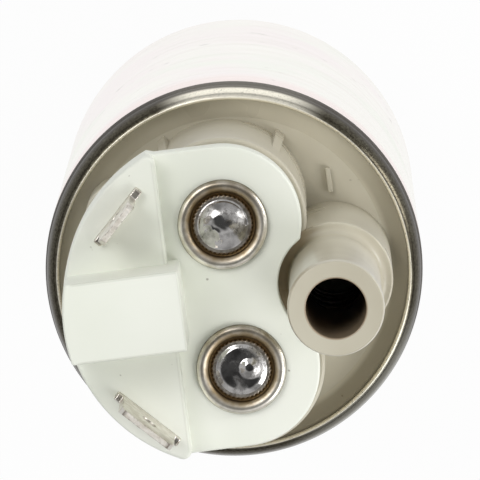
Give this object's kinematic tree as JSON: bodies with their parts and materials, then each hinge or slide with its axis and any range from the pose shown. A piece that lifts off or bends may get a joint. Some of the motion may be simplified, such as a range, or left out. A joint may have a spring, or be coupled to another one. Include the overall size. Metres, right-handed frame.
{
  "type": "in-tank fuel pump",
  "caption": "Cylindrical in-tank turbine fuel pump with an offset outlet nipple, a white terminal board with two spade blades and a key block, and an offset suction neck.",
  "frame": {"origin": "on the pump's axis, at the lower edge of the shell", "axes": "+Z along the axis towards the outlet end, +X towards the outlet nipple, +Y towards the terminal post on the narrow blade's side"},
  "size_m": [0.038, 0.038, 0.1098],
  "materials": {
    "zinc_steel": "pale iridescent zinc plate",
    "beige_plastic": "satin moulded plastic",
    "white_plastic": "smooth natural moulded plastic",
    "nickel_plate": "bright, brown flux stain near the solder",
    "bright_steel": "bright",
    "solder": "shiny",
    "copper": "enamelled",
    "brass": "turned",
    "bronze": "sintered",
    "carbon": "matt",
    "ferrite": "matt sintered",
    "lamination": "stamped edges",
    "phenolic": "matt",
    "aluminium": "die cast",
    "seal_rubber": "matt"
  },
  "bodies": {
    "housing": {"shell": "zinc_steel", "outlet_cover": "beige_plastic", "seal_ring": "seal_rubber", "terminal_board": "white_plastic", "blade_narrow": "nickel_plate", "blade_wide": "nickel_plate", "eyelet_a": "nickel_plate", "eyelet_b": "nickel_plate", "post_a": "bright_steel", "post_b": "bright_steel", "solder_a": "solder", "solder_b": "solder", "choke_core_a": "ferrite", "choke_core_b": "ferrite", "choke_coil_a": "copper", "choke_coil_b": "copper", "brush_spring_a": "bright_steel", "brush_spring_b": "bright_steel", "magnet_a": "ferrite", "magnet_b": "ferrite", "magnet_clip_a": "bright_steel", "magnet_clip_b": "bright_steel", "check_seat": "brass", "check_spring": "bright_steel", "relief_spring": "bright_steel", "relief_plug": "brass", "bush_upper": "bronze", "bush_lower": "bronze", "pump_casing": "aluminium", "inlet_cover": "aluminium", "thrust_button": "bright_steel"},
    "rotor": {"shaft": "bright_steel", "armature_core": "lamination", "insulator_lower": "phenolic", "insulator_upper": "phenolic", "winding": "copper", "commutator": "copper", "impeller": "phenolic"},
    "brush_block_a": {"brush_a": "carbon"},
    "brush_block_b": {"brush_b": "carbon"},
    "check_valve": {"check_poppet": "white_plastic"},
    "relief_valve": {"relief_ball": "bright_steel"}
  },
  "joints": [
    {"name": "rotor_spin", "type": "hinge", "parent": "housing", "child": "rotor", "pos_m": [0, 0, 0], "axis": [0, 0, 1], "continuous": true},
    {"name": "brush_a_slide", "type": "slide", "parent": "housing", "child": "brush_block_a", "axis": [0, 0, 1], "range_m": [0, 0.0008], "stiffness_N_per_m": 250, "springref_m": -0.004, "deforming": ["brush_spring_a"]},
    {"name": "brush_b_slide", "type": "slide", "parent": "housing", "child": "brush_block_b", "axis": [0, 0, 1], "range_m": [0, 0.0008], "stiffness_N_per_m": 250, "springref_m": -0.004, "deforming": ["brush_spring_b"]},
    {"name": "check_valve_slide", "type": "slide", "parent": "housing", "child": "check_valve", "axis": [0, 0, 1], "range_m": [0, 0.002], "stiffness_N_per_m": 120, "springref_m": -0.002, "deforming": ["check_spring"]},
    {"name": "relief_valve_slide", "type": "slide", "parent": "housing", "child": "relief_valve", "axis": [0, 0, 1], "range_m": [0, 0.001], "stiffness_N_per_m": 800, "springref_m": -0.003, "deforming": ["relief_spring"]}
  ]
}
